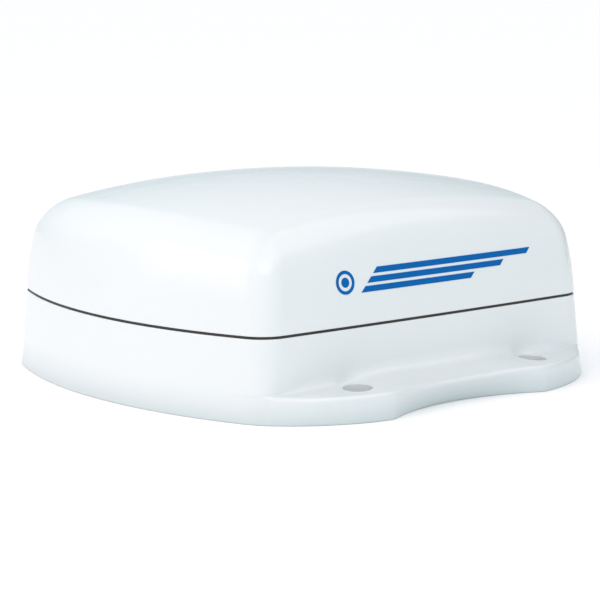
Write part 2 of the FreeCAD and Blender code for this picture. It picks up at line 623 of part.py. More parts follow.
def make_array_bracket():
    low = HUB_TOP + FLANGE_T
    foot = box(-34, -24, low, 34, 24, low + 3)
    back = box(-44, ARRAY_FACE_Y + 12.5, low, 44, ARRAY_FACE_Y + 15.5, ARRAY_Z[1] - 4)
    ribs = [box(x - 1.5, ARRAY_FACE_Y + 15.0, low + 2, x + 1.5, 20, low + 18) for x in (-32.0, 32.0)]
    body = fuse([foot, back] + ribs)
    body = drill(body, ARRAY_FOOT_SCREWS, 1.6, low - 1, low + 4)
    return drill(body, [(0.0, 0.0)], 5.0, low - 1, low + 4)


def make_reflector():
    y0, y1 = ARRAY_FACE_Y, ARRAY_FACE_Y + 12.5
    body = box(-ARRAY_HALF, y0, ARRAY_Z[0], ARRAY_HALF, y1, ARRAY_Z[1])
    return body.cut(box(-ARRAY_HALF - 1, y0 - 1, ARRAY_Z[0] + 2, ARRAY_HALF + 1, y1 - 2.5, ARRAY_Z[1] - 2))


def array_layer(front, back):
    """A sheet across the reflector, between two distances behind its lip."""
    half = ARRAY_HALF - 1
    return box(-half, ARRAY_FACE_Y + front, ARRAY_Z[0] + 2, half, ARRAY_FACE_Y + back, ARRAY_Z[1] - 2)


def make_patches():
    patches, half = [], 6.5
    y0, y1 = ARRAY_FACE_Y + 1.6, ARRAY_FACE_Y + 2.0
    for column in range(PATCH_COLUMNS):
        for row in range(PATCH_ROWS):
            x = (column - (PATCH_COLUMNS - 1) / 2.0) * 22.0
            z = (ARRAY_Z[0] + ARRAY_Z[1]) / 2 + (row - 0.5) * 26.0
            patches.append(box(x - half, y0, z - half, x + half, y1, z + half))
    return patches


def make_array_screws():
    places = [(x, z) for x in (-36.0, 36.0) for z in (ARRAY_Z[0] + 10, ARRAY_Z[1] - 12)]
    behind = ARRAY_FACE_Y + 15.5
    return [rod_y(3.2, x, z, behind, behind + 3) for x, z in places]


# ---------------------------------------------------------------- electronics
def make_board(area):
    x0, y0, x1, y1 = area
    places = [(x, y) for x, y in BOARD_POSTS if x0 < x < x1 and y0 < y < y1]
    return drill(box(x0, y0, BOARD_Z[0], x1, y1, BOARD_Z[1]), places, 1.6, 20, 50)


def make_board_post(x, y):
    return hexagon(6.0, x, y, CHASSIS_TOP, BOARD_Z[0]).cut(rod(1.5, x, y, CHASSIS_TOP + 1, BOARD_Z[0] + 1))


def on_board(pieces):
    """Boxes that stand on a board, given as x, y, length, width and height."""
    z = BOARD_Z[1]
    return [box(x - w / 2, y - d / 2, z, x + w / 2, y + d / 2, z + h) for x, y, w, d, h in pieces]


def make_module_case():
    x0, y0, x1, y1 = MODULE_BOX
    body = box(x0, y0, CHASSIS_TOP, x1, y1, 50.0)
    body = body.cut(box(x0 + 3, y0 + 3, CHASSIS_TOP + 3, x1 - 3, y1 - 3, 60.0))
    posts = [rod(5.0, x, y, CHASSIS_TOP, 50.0) for x, y in MODULE_SCREWS]
    body = fuse([body] + posts).common(box(x0, y0, 0, x1, y1, 90))
    return drill(body, MODULE_SCREWS, 1.5, 38.0, 60.0)


def make_module_lid():
    x0, y0, x1, y1 = MODULE_BOX
    lid = box(x0, y0, 50.0, x1, y1, 52.5)
    fins = [box(x0 + 12, y - 1, 52.0, x1 - 12, y + 1, 58.0) for y in range(-36, 37, 8)]
    return drill(fuse([lid] + fins), MODULE_SCREWS, 1.6, 45.0, 60.0)


def make_heat_sink():
    z = BOARD_Z[1]
    fins = [box(x, 92, z + 2, x + 1.5, 110, z + 18) for x in (60.0, 66.5, 73.0, 79.5, 86.0, 92.5)]
    return fuse([box(60, 92, z, 94, 110, z + 3)] + fins)


def save_all():
    save("radome_cover", make_cover())
    save("bow_mark", make_mark())
    save("base_housing", make_base())
    save("seal_gasket",
         ring_band(GASKET_SET_BACK, RIM_WIDTH - 1.0, SEAM_Z - SEAM_GAP / 2, SEAM_Z + SEAM_GAP / 2))
    save("cover_screws", [make_cover_screw(x, y) for x, y in four(*COVER_BOSS)])
    save("cover_screw_seals", [make_cover_seal(x, y) for x, y in four(*COVER_BOSS)])
    save("cover_inserts", [make_cover_insert(x, y) for x, y in four(*COVER_BOSS)])
    save("mounting_sleeves", [make_sleeve(x, y) for x, y in four(BOLT_X, BOLT_Y)])
    save("breather_vent", make_vent())
    save("inlet_shell", make_inlet_shell())
    save("inlet_insert", make_inlet_insert())
    save("inlet_pins", make_inlet_pins())
    save("inlet_gasket", make_inlet_gasket())
    save("inlet_nut", make_inlet_nut())

    save("chassis_plate", make_chassis())
    save("chassis_screws",
         [cap_screw(x, y, CHASSIS_TOP, CHASSIS_SCREW_R, 14.0, 3.5, 3.5) for x, y in four(*CHASSIS_SCREW)])
    save("bearing_housing", make_pedestal())
    save("bearing_housing_screws",
         [cap_screw(x, y, CHASSIS_TOP + 4, 2.0, 8.0, 3.5, 3.5) for x, y in PEDESTAL_SCREWS])
    for name, z in (("lower", LOWER_BEARING_Z), ("upper", UPPER_BEARING_Z)):
        save(name + "_bearing_outer_ring", make_outer_ring(z))
        save(name + "_bearing_inner_ring", make_inner_ring(z))
        save(name + "_bearing_balls", make_balls(z))
    save("bearing_circlip", make_circlip())
    save("bearing_spacer", tube(11.0, BEARING_RI, 0, 0, LOWER_BEARING_Z + BEARING_W, UPPER_BEARING_Z))

    save("motor_bracket", make_motor_bracket())
    save("motor_standoffs", [make_motor_standoff(x, y) for x, y in STANDOFFS])
    bracket_top = MOTOR_Z[1] + BRACKET_T
    save("motor_bracket_screws", [cap_screw(x, y, bracket_top, 2.0, 10.0, 3.4, 2.2) for x, y in STANDOFFS])
    save("motor_screws", [cap_screw(x, y, bracket_top, 1.5, 8.0, 2.7, 1.8) for x, y in MOTOR_SCREWS])
    save("motor_body", make_motor())
    save("motor_shaft", rod(SHAFT_R, MOTOR_X, 0, MOTOR_Z[0] + 3.5, GEAR_Z[1] + 2))
    save("motor_pinion", make_pinion())

    save("spindle", make_spindle())
    save("spindle_nut", make_spindle_nut())
    save("main_gear", make_main_gear())
    save("main_gear_screws", [cap_screw(x, y, HUB_TOP + FLANGE_T, 1.5, 12.0, 2.6, 2.4) for x, y in HUB_SCREWS])
    save("heading_flag", make_heading_flag())
    save("rotary_joint_pin", make_joint_pin())
    save("rotary_joint_body", make_joint_stator())
    save("array_bracket", drill(make_array_bracket(), HUB_SCREWS, 3.0, 80, 85))
    save("array_bracket_screws",
         [cap_screw(x, y, HUB_TOP + FLANGE_T + 3, 1.5, 7.0, 2.6, 2.4) for x, y in ARRAY_FOOT_SCREWS])
    save("array_reflector", make_reflector())
    save("array_foam", array_layer(3.6, 10.0))
    save("array_feed_board", array_layer(2.0, 3.6))
    save("array_patches", make_patches())
    save("array_screws", make_array_screws())
    save("heading_sensor", make_heading_sensor())

    save("main_board", make_board(MAIN_BOARD))
    save("main_board_chips", on_board([(-70, -90, 24, 24, 3), (-30, -96, 18, 18, 2.5), (0, -80, 14, 20, 2.5),
                                       (-60, -66, 12, 8, 2), (20, -104, 10, 14, 2)]))
    save("main_board_sockets", on_board([(-98, -88, 9, 34, 9), (46, -84, 9, 40, 9)]))
    save("power_board", make_board(POWER_BOARD))
    save("power_capacitors", [rod(8.0, x, 80, BOARD_Z[1], BOARD_Z[1] + 26) for x in (-40.0, -20.0, 0.0)])
    save("power_inductors", [tube(12.0, 5.0, x, 78, BOARD_Z[1], BOARD_Z[1] + 11) for x in (24.0, 52.0)])
    save("power_heat_sink", make_heat_sink())
    save("board_standoffs", [make_board_post(x, y) for x, y in BOARD_POSTS])
    save("board_screws", [cap_screw(x, y, BOARD_Z[1], 1.5, 5.0, 2.7, 2.0) for x, y in BOARD_POSTS])
    save("transceiver_case", make_module_case())
    save("transceiver_lid", make_module_lid())
    save("transceiver_screws", [cap_screw(x, y, 52.5, 1.5, 9.0, 2.7, 2.0) for x, y in MODULE_SCREWS])


save_all()
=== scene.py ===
import json
import math

import bmesh
import bpy
import numpy as np
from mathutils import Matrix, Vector


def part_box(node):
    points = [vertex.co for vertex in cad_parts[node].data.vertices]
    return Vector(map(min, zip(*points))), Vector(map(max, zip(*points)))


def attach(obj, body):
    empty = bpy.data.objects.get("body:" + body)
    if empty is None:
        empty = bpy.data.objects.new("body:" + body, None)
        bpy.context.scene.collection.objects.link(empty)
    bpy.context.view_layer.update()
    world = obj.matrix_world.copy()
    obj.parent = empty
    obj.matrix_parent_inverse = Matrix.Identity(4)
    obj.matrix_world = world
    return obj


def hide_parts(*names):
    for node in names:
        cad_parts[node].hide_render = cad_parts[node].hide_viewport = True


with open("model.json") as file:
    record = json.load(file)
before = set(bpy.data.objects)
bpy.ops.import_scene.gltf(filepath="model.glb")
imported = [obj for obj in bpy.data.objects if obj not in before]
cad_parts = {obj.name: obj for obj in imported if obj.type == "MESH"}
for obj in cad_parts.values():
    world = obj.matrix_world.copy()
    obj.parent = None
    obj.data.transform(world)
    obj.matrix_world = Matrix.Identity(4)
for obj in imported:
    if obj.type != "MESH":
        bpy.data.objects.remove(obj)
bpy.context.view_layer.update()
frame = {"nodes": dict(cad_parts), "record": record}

MM = 0.001


# ---------------------------------------------------------------- sizes, in millimetres
def box_mm(node):
    low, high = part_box(node)
    return [v / MM for v in low], [v / MM for v in high]


# outline of both shells at the seam
GASKET_LOW, GASKET_HIGH = box_mm("seal_gasket")
SEAM_LOW, SEAM_HIGH = GASKET_LOW[2], GASKET_HIGH[2]      # the two lips of the joint
SEAM_Z = (SEAM_LOW + SEAM_HIGH) / 2
GASKET_SET_BACK = 1.2
HALF_WIDTH = GASKET_HIGH[0] + GASKET_SET_BACK
FRONT_Y = GASKET_HIGH[1] + GASKET_SET_BACK               # bow face at the centre line
CORNER_X, CORNER_Y = 194.0, 189.5                        # the outline's corners, if they were sharp
CORNER_R = 31.0
WALL = 4.0
RIM_WIDTH, RIM_T = 10.0, 4.8                             # inward flange on each shell
LIP_R = 0.9                                              # rounding of each shell's lip

# cover
_, COVER_HIGH = box_mm("radome_cover")
CROWN_TOP = COVER_HIGH[2]
CROWN_RX, CROWN_RY = 1065.0, 870.0
LEAN, LEAN_GROWTH = 0.052, 0.00151                       # the wall's inward slope and its growth
SHOULDER_R, INNER_SHOULDER_R = 26.0, 23.0
CORNER_LOSS = 0.5                                        # part of the skin that inner corners lose in radius
WALL_BELOW, WALL_ABOVE = 6.0, 8.0                        # the wall is worked out this far past its ends

# screws that hold the cover, four from below
COVER_BOSS, COVER_BOSS_R, COVER_BOSS_TOP = (183.5, 173.0), 9.0, 104.0
COVER_HEAD_BORE, COVER_HEAD_Z = 5.5, 58.0
COVER_INSERT_R, COVER_INSERT_DEPTH = 4.0, 14.0

# lower outline of the base
SIDE_FLARE = 5.6
TIP = (93.0, -243.5)                                     # tip of a bolt lobe
TIP_HEADING = math.radians(6.6)
FLANK_R, TURN_R = 168.0, 71.0
SCOOP_BASE, SCOOP_RIM = 23.9, 11.0                       # hollow between the tips, low and at the rim
TIP_SOFTNESS = 2.5
FOOT_EDGE = 0.8                                          # rounding of the lower edge
UNDERSIDE_SCALE = 0.97                                   # the foot at this scale shows how the underside runs

# ledge above the flange: its outer edge is the rim, its back edge the crease
LEDGE_RIM_Z, LEDGE_DIP = 24.2, 1.9                       # height of the rim, and its dip between the lobes
DIP_FULL, DIP_GONE = 25.0, 85.0                          # out from the centre line
CREASE_Y = 190.8
CREASE_LOW, CREASE_LIFT = 24.6, 8.2                      # crease's height beside the bolts, and its arch
LIFT_FULL, LIFT_GONE = 45.0, 135.0                       # out from the centre line
CREASE_ABOVE_RIM = 0.8                                   # at the least
CREASE_REACH, RIM_REACH = 15.0, 4.6                      # how far the crease and rim roundings reach
RIM_LEAVES, RIM_ARRIVES = 0.75, 1.35                     # where the rim leaves the wall, 1 at the turn's end
CREASE_LEAVES, CREASE_ARRIVES = -0.2, 1.6                # where the crease does

# bolt recesses
BOLT = (109.0, 211.5)
NOTCH_FULL_R, NOTCH_GONE_R = 14.5, 21.5                  # wrench clearance round a bolt, and its soft edge
SOCKET_R, SOCKET_FLOOR, SLEEVE_RO = 13.0, 10.0, 8.0
SOCKET_EDGE_R, SOCKET_EDGE_SLOPE = 1.4, 22.0             # rounding of the recess's rim, and where it ends
SOCKET_FLARE, CUTTER_TOP = 2.0, 50.0
SOCKET_NEAR = 24.0                                       # the ledge's slope is taken this close to the bolt

# inside of the base
FLOOR = 5.0
CAVITY_STEP, CAVITY_TOP_STEP = 9.0, 0.6                  # extra wall fore and aft, at the floor and the lip
BOSS_FOOT, BOSS_GAP = 1.0, 0.2                           # bosses start in the floor and end below the lip
CHASSIS_SCREW, CHASSIS_BOSS_R, CHASSIS_Z = (140.0, 110.0), 8.0, 22.0
VENT, VENT_R = (0.0, -120.0), 6.0                        # the breather's hole
INLET_Z, INLET_PAD_R, INLET_BORE_R = 52.0, 18.0, 12.0
INLET_PAD_ENDS, INLET_BORE_ENDS = (183.0, 196.0), (170.0, 205.0)
OVERSHOOT, SHORT_OVERSHOOT = 2.0, 1.0                    # cutters run on past the surface they open


# ---------------------------------------------------------------- how finely each shape is sampled
SIDE_STEPS, CORNER_STEPS, BOW_STEPS = 44, 40, 96         # along one quarter of the outline
LIP_STEPS = 5
COVER_LEVELS, COVER_WALL_STEPS, SHOULDER_STEPS, CROWN_STEPS = 48, 22, 14, 26
SHOULDER_ROUNDS = 40                                     # of settling its plan and height
FLOOR_STEPS, BASE_WALL_STEPS, CREASE_STEPS, LEDGE_STEPS, RIM_STEPS = 12, 14, 16, 14, 9
FLANGE_STEPS, FOOT_STEPS, UNDER_STEPS = 9, 5, 14
SOCKET_EDGE_STEPS = 6
ROD_SIDES, SOCKET_SIDES = 96, 97
WELD = 1e-6                                              # metres, for the points on a lathe's axis
COVER_SHARP, BASE_SHARP = 50.0, 40.0                     # degrees above which an edge stays sharp


# ---------------------------------------------------------------- outline
def meet(c1, r1, c2, r2):
    """The point in the quadrant x > 0, y > 0 that lies r1 from c1 and r2 from c2."""
    dx, dy = c2[0] - c1[0], c2[1] - c1[1]
    d = math.hypot(dx, dy)
    a = (r1 * r1 - r2 * r2 + d * d) / (2 * d)
    h = math.sqrt(r1 * r1 - a * a)
    px, py = c1[0] + a * dx / d, c1[1] + a * dy / d
    options = [(px + h * dy / d, py - h * dx / d), (px - h * dy / d, py + h * dx / d)]
    return max(options, key=lambda p: min(p))


def side_circle(side):
    """Centre and radius of the side's arc, moved out by side."""
    sagitta = HALF_WIDTH - CORNER_X
    r = (CORNER_Y ** 2 + sagitta ** 2) / (2 * sagitta)
    return (HALF_WIDTH - r, 0.0), r + side


def front_circle(front):
    """Centre and radius of the bow's arc, moved out by front."""
    bulge = FRONT_Y - CORNER_Y
    r = (CORNER_X ** 2 + bulge ** 2) / (2 * bulge)
    return (0.0, FRONT_Y - r), r + front


def quadrant(side, front, corner_r):
    """Points and outward normals of a quarter of the outline, from (x, 0) round the corner to (0, y)."""
    side_c, side_r = side_circle(side)
    front_c, front_r = front_circle(front)
    c = meet(front_c, front_r - corner_r, side_c, side_r - corner_r)
    leave = math.atan2(c[1] - side_c[1], c[0] - side_c[0])
    arrive = math.atan2(c[1] - front_c[1], c[0] - front_c[0])
    turns = [(side_c, side_r, np.linspace(0, leave, SIDE_STEPS, endpoint=False)),
             (c, corner_r, np.linspace(leave, arrive, CORNER_STEPS, endpoint=False)),
             (front_c, front_r, np.linspace(arrive, math.pi / 2, BOW_STEPS + 1))]
    points, normals = [], []
    for centre, r, angles in turns:
        n = np.stack([np.cos(angles), np.sin(angles)], axis=1)
        points.append(np.array(centre) + r * n)
        normals.append(n)
    return np.concatenate(points), np.concatenate(normals)


def all_round(quarter):
    """Columns of points (steps, rows, 3) for x > 0, y > 0, mirrored into a closed ring."""
    flip_x, flip_y = np.array([-1, 1, 1]), np.array([1, -1, 1])
    second = (quarter * flip_x)[::-1]
    third = quarter * flip_x * flip_y
    fourth = (quarter * flip_y)[::-1]
    return np.concatenate([quarter[:-1], second[:-1], third[:-1], fourth[:-1]])


def four(place):
    """The four mirror images of a place in plan."""
    return [(sx * place[0], sy * place[1]) for sx in (1, -1) for sy in (1, -1)]


def with_z(points, z):
    """Plan points raised to z, which is one height or one for each point."""
    heights = np.broadcast_to(np.asarray(z, float).reshape(-1, 1), (len(points), 1))
    return np.concatenate([points, heights], axis=1)


def smooth_step(value, low, high):
    t = np.clip((value - low) / (high - low), 0, 1)
    return t * t * (3 - 2 * t)


# ---------------------------------------------------------------- mesh building
def new_object(name, vertices, faces):
    """A mesh from vertices in millimetres, riding on the housing."""
    mesh = bpy.data.meshes.new(name)
    mesh.from_pydata([tuple(v) for v in np.asarray(vertices) * MM], [], faces)
    mesh.validate()
    obj = bpy.data.objects.new(name, mesh)
    bpy.context.scene.collection.objects.link(obj)
    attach(obj, "housing")
    return obj


def shell_from_columns(name, columns, first_pole, last_pole):
    """A closed mesh from a ring of columns (around, rows, 3), with a pole at each end of the rows."""
    around, rows = columns.shape[:2]
    vertices = [tuple(p) for p in columns.reshape(-1, 3)] + [first_pole, last_pole]
    first, last = around * rows, around * rows + 1
    neighbours = [(i * rows, (i + 1) % around * rows) for i in range(around)]
    faces = []
    for here, beside in neighbours:
        for k in range(rows - 1):
            faces.append((here + k, beside + k, beside + k + 1, here + k + 1))
    faces += [(first, beside, here) for here, beside in neighbours]
    faces += [(here + rows - 1, beside + rows - 1, last) for here, beside in neighbours]
    return new_object(name, vertices, faces)


def shade(obj, sharp_degrees):
    obj.data.shade_smooth()
    obj.data.set_sharp_from_angle(angle=math.radians(sharp_degrees))


def lathe(profile, centre, sides, axis="Z"):
    """A solid turned about an upright or fore-and-aft axis. profile is a closed loop of (radius, height)."""
    vertices, faces = [], []
    count = len(profile)
    for i in range(sides):
        a = 2 * math.pi * i / sides
        for r, h in profile:
            local = (r * math.cos(a), r * math.sin(a), h)
            turned = local if axis == "Z" else (local[1], local[2], local[0])
            vertices.append([centre[k] + turned[k] for k in range(3)])
    for i in range(sides):
        j = (i + 1) % sides
        for k in range(count):
            m = (k + 1) % count
            faces.append((i * count + k, j * count + k, j * count + m, i * count + m))
    obj = new_object("tool", vertices, faces)
    bm = bmesh.new()
    bm.from_mesh(obj.data)
    bmesh.ops.remove_doubles(bm, verts=bm.verts, dist=WELD)
    bmesh.ops.recalc_face_normals(bm, faces=bm.faces)
    bm.to_mesh(obj.data)
    bm.free()
    return obj


def rod(r, z0, z1, x, y):
    """An upright rod."""
    return lathe([(0, z0), (r, z0), (r, z1), (0, z1)], (x, y, 0), ROD_SIDES)


def rod_aft(r, ends, z):
    """A rod along the fore-and-aft axis, on the centre line."""
    y0, y1 = ends
    return lathe([(0, y0), (r, y0), (r, y1), (0, y1)], (0, 0, z), ROD_SIDES, axis="Y")


def combine(obj, tools, operation):
    """Adds the tools to obj, or takes them out of it, and removes them."""
    bm = bmesh.new()
    for tool in tools:
        bm.from_mesh(tool.data)
    tools[0].data = bpy.data.meshes.new("tool")
    bm.to_mesh(tools[0].data)
    bm.free()
    step = obj.modifiers.new("combine", "BOOLEAN")
    step.operation = operation
    step.solver = "EXACT"
    step.object = tools[0]
    depsgraph = bpy.context.evaluated_depsgraph_get()
    made = bpy.data.meshes.new_from_object(obj.evaluated_get(depsgraph))
    obj.modifiers.clear()
    obj.data = made
    for tool in tools:
        bpy.data.objects.remove(tool)


# ---------------------------------------------------------------- radome cover
def crown_z(x, y, top):
    """Height of the crown: an arc across, carried along an arc fore and aft."""
    rho = CROWN_RX - (CROWN_RY - np.sqrt(CROWN_RY ** 2 - y ** 2))
    return top - CROWN_RX + np.sqrt(rho ** 2 - x ** 2)


def wall_inset(rise):
    """How far in the wall stands at a height above the seam."""
    return LEAN * rise + LEAN_GROWTH * rise * np.abs(rise)


class CoverSkin:
    """The cover's wall, shoulder and crown, skin millimetres inside its outside."""

    def __init__(self, skin, shoulder_r):
        self.shoulder_r, self.top = shoulder_r, CROWN_TOP - skin
        self.levels = np.linspace(-WALL_BELOW, CROWN_TOP - SEAM_Z + WALL_ABOVE, COVER_LEVELS)
        offsets = [-skin - wall_inset(rise) for rise in self.levels]
        outlines = [quadrant(offset, offset, CORNER_R - CORNER_LOSS * skin) for offset in offsets]
        self.table = np.array([points for points, _ in outlines])
        self.normals = outlines[0][1]

    def wall(self, z):
        """Plan points of the wall, each column at its own height."""
        place = (z - SEAM_Z - self.levels[0]) / (self.levels[1] - self.levels[0])
        k = np.clip(place.astype(int), 0, len(self.levels) - 2)
        share = (place - k)[:, None]
        columns = np.arange(len(z))
        return self.table[k, columns] * (1 - share) + self.table[k + 1, columns] * share

    def shoulder(self, angle):
        """Points of the shoulder, from 0 at the wall to a right angle at the crown."""
        r = self.shoulder_r
        z = np.full(self.table.shape[1], self.top - r)
        # plan and height each follow from the other, and these rounds settle both
        for _ in range(SHOULDER_ROUNDS):
            plan = self.wall(z) - r * (1 - math.cos(angle)) * self.normals
            z = crown_z(plan[:, 0], plan[:, 1], self.top) - r * (1 - math.sin(angle))
        return with_z(plan, z)

    def rows(self, start_z):
        """Rows from the foot of the wall to near the middle of the crown."""
        rows = []
        wall_top = self.shoulder(0.0)[:, 2]
        for share in np.linspace(0, 1, COVER_WALL_STEPS, endpoint=False):
            z = start_z + (wall_top - start_z) * share
            rows.append(with_z(self.wall(z), z))
        for step in range(SHOULDER_STEPS + 1):
            rows.append(self.shoulder(math.pi / 2 * step / SHOULDER_STEPS))
        rim = rows[-1]
        for share in np.linspace(0, 1, CROWN_STEPS, endpoint=False)[1:]:
            plan = rim[:, :2] * (1 - share)
            rows.append(with_z(plan, crown_z(plan[:, 0], plan[:, 1], self.top)))
        return rows


def make_cover():
    outer, inner = CoverSkin(0.0, SHOULDER_R), CoverSkin(WALL, INNER_SHOULDER_R)
    lip = []
    for a in np.linspace(0, math.pi / 2, LIP_STEPS):
        z = SEAM_HIGH + LIP_R * (1 - math.cos(a))
        full = outer.wall(np.full(len(outer.normals), z))
        lip.append(with_z(full - LIP_R * (1 - math.sin(a)) * outer.normals, z))
    under = outer.wall(np.full(len(outer.normals), SEAM_HIGH)) - RIM_WIDTH * outer.normals
    rim_top = SEAM_HIGH + RIM_T
    rows = inner.rows(rim_top)[::-1] + [with_z(under, rim_top), with_z(under, SEAM_HIGH)]
    rows += lip + outer.rows(SEAM_HIGH + LIP_R)[1:]
    columns = all_round(np.stack(rows, axis=1))
    cover = shell_from_columns("radome_cover_shell", columns, (0, 0, CROWN_TOP - WALL), (0, 0, CROWN_TOP))
    bosses = [rod(COVER_BOSS_R, SEAM_HIGH, COVER_BOSS_TOP, x, y) for x, y in four(COVER_BOSS)]
    combine(cover, bosses, "UNION")
    low, high = SEAM_HIGH - SHORT_OVERSHOOT, SEAM_HIGH + COVER_INSERT_DEPTH
    combine(cover, [rod(COVER_INSERT_R, low, high, x, y) for x, y in four(COVER_BOSS)], "DIFFERENCE")
    shade(cover, COVER_SHARP)
    return cover


# ---------------------------------------------------------------- base housing
def toward(centre, r, point):
    """The point at distance r from the centre, in the direction of point."""
    d = math.hypot(point[0] - centre[0], point[1] - centre[1])
    return centre[0] + (point[0] - centre[0]) * r / d, centre[1] + (point[1] - centre[1]) * r / d


def soft_max(a, b, k):
    return 0.5 * (a + b + np.sqrt((a - b) ** 2 + k * k))


def foot_outline(scoop):
    """A quarter of the base's lower outline, in step with quadrant(): side, turn, then flank and scoop."""
    side_c, side_r = side_circle(SIDE_FLARE)
    flank_c = (TIP[0] - FLANK_R * math.sin(TIP_HEADING), -TIP[1] - FLANK_R * math.cos(TIP_HEADING))
    turn_c = meet(flank_c, FLANK_R - TURN_R, side_c, side_r - TURN_R)
    leave = math.atan2(turn_c[1] - side_c[1], turn_c[0] - side_c[0])
    arrive = math.atan2(turn_c[1] - flank_c[1], turn_c[0] - flank_c[0])
    a = np.linspace(0, leave, SIDE_STEPS, endpoint=False)
    side = np.stack([side_c[0] + side_r * np.cos(a), side_c[1] + side_r * np.sin(a)], axis=1)
    a = np.linspace(leave, arrive, CORNER_STEPS, endpoint=False)
    turn = np.stack([turn_c[0] + TURN_R * np.cos(a), turn_c[1] + TURN_R * np.sin(a)], axis=1)
    end_x, _ = toward(flank_c, FLANK_R, turn_c)
    x = end_x * np.linspace(1, 0, BOW_STEPS + 1)
    flank = flank_c[1] + np.sqrt(FLANK_R ** 2 - np.maximum(x - flank_c[0], 0) ** 2)
    scoop_r = (TIP[0] ** 2 + scoop ** 2) / (2 * scoop)
    hollow = -TIP[1] - scoop + scoop_r - np.sqrt(scoop_r ** 2 - x ** 2)
    bow = np.stack([x, -soft_max(-flank, -hollow, TIP_SOFTNESS)], axis=1)
    return np.concatenate([side, turn, bow])


def rim_height(x):
    """Height of the ledge's rim, which dips between the bolt lobes."""
    return LEDGE_RIM_Z - LEDGE_DIP * (1 - smooth_step(np.abs(x), DIP_FULL, DIP_GONE))


def crease_height(x):
    """Height of the ledge's crease, which arches up between the bolts."""
    return CREASE_LOW + CREASE_LIFT * (1 - smooth_step(np.abs(x), LIFT_FULL, LIFT_GONE))


def rounded(a, b, c, reach, steps):
    """Points that round the corner b of the path a, b, c, starting reach before it."""
    back, ahead = a - b, c - b
    long_back, long_ahead = np.linalg.norm(back, axis=1), np.linalg.norm(ahead, axis=1)
    # at most 0.45 of a stretch, so that the roundings at its two ends stay apart
    cut = np.minimum(reach, 0.45 * np.minimum(long_back, long_ahead))[:, None]
    start, end = b + back / long_back[:, None] * cut, b + ahead / long_ahead[:, None] * cut
    return [start * (1 - t) ** 2 + b * 2 * t * (1 - t) + end * t * t for t in np.linspace(0, 1, steps)]


def straight(a, b, steps):
    """Points evenly spaced between a and b, without either."""
    return [a + (b - a) * t for t in np.linspace(0, 1, steps + 1, endpoint=False)[1:]]


def base_profile():
    """Three key points of each column (y > 0): back of the ledge, rim of the ledge and lower edge."""
    seam, _ = quadrant(0.0, 0.0, CORNER_R)
    low, high = foot_outline(SCOOP_BASE), foot_outline(SCOOP_RIM)
    lip, foot = with_z(seam, SEAM_LOW), with_z(low, 0.0)

    def on_line(z):
        share = ((SEAM_LOW - z) / SEAM_LOW)[:, None]
        return lip + (foot - lip) * share

    # how many samples past the start of the turn each column stands
    place = np.arange(len(seam), dtype=float) - SIDE_STEPS
    rim_z = rim_height(high[:, 0])
    rim_share = smooth_step(place, RIM_LEAVES * CORNER_STEPS, RIM_ARRIVES * CORNER_STEPS)[:, None]
    rim = on_line(rim_z) * (1 - rim_share) + with_z(high, rim_z) * rim_share
    crease_share = smooth_step(place, CREASE_LEAVES * CORNER_STEPS, CREASE_ARRIVES * CORNER_STEPS)[:, None]
    back = seam.copy()
    back[:, 1] = np.maximum(CREASE_Y, seam[:, 1])
    crease = on_line(np.maximum(crease_height(seam[:, 0]), rim[:, 2] + CREASE_ABOVE_RIM))
    crease = crease * (1 - crease_share) + with_z(back, crease[:, 2]) * crease_share
    return crease, rim, foot


def notch(arc, crease, rim):
    """Flattens the rounding behind each bolt, where the wrench passes, with a soft edge."""
    # the depth is never taken as less than a millimetre, because it divides
    depth = np.maximum(rim[:, 1] - crease[:, 1], 1.0)
    for row in arc:
        t = np.clip((row[:, 1] - crease[:, 1]) / depth, 0, 1)
        flat = crease[:, 2] + (rim[:, 2] - crease[:, 2]) * t
        away = np.hypot(row[:, 0] - BOLT[0], row[:, 1] - BOLT[1])
        keep = smooth_step(away, NOTCH_FULL_R, NOTCH_GONE_R)
        row[:, 2] = np.where(row[:, 2] > flat, flat + (row[:, 2] - flat) * keep, row[:, 2])


def inside_rows(seam, normals):
    """Rows of the base from near the middle of its floor, up the cavity and over the lip."""
    cavity, _ = quadrant(SIDE_FLARE - WALL, -WALL - CAVITY_STEP, CORNER_R)
    cavity_top, _ = quadrant(-WALL, -WALL - CAVITY_TOP_STEP, CORNER_R - WALL)
    inner = seam - RIM_WIDTH * normals
    rows = [with_z(cavity * share, FLOOR) for share in np.linspace(0, 1, FLOOR_STEPS)[1:]]
    rows.append(with_z(cavity_top, SEAM_LOW - RIM_T))
    rows += [with_z(inner, SEAM_LOW - RIM_T), with_z(inner, SEAM_LOW)]
    for a in np.linspace(0, math.pi / 2, LIP_STEPS):
        plan = seam - LIP_R * (1 - math.sin(a)) * normals
        rows.append(with_z(plan, SEAM_LOW - LIP_R * (1 - math.cos(a))))
    return rows


def outside_rows(seam):
    """Rows of the base from below its lip to near the middle of its underside, and the ledge's alone."""
    crease, rim, foot = base_profile()
    top = with_z(seam, SEAM_LOW - LIP_R)
    crease_arc = rounded(top, crease, rim, CREASE_REACH, CREASE_STEPS)
    notch(crease_arc, crease, rim)
    rim_arc = rounded(crease, rim, foot, RIM_REACH, RIM_STEPS)
    edge_in = foot.copy()
    edge_in[:, :2] *= UNDERSIDE_SCALE
    foot_arc = rounded(rim, foot, edge_in, FOOT_EDGE, FOOT_STEPS)
    ledge = straight(crease_arc[-1], rim_arc[0], LEDGE_STEPS)
    rows = straight(top, crease_arc[0], BASE_WALL_STEPS) + crease_arc + ledge + rim_arc
    rows += straight(rim_arc[-1], foot_arc[0], FLANGE_STEPS) + foot_arc
    for share in np.linspace(1, 0, UNDER_STEPS, endpoint=False)[1:]:
        rows.append(with_z(foot_arc[-1][:, :2] * share, 0.0))
    return rows, ledge


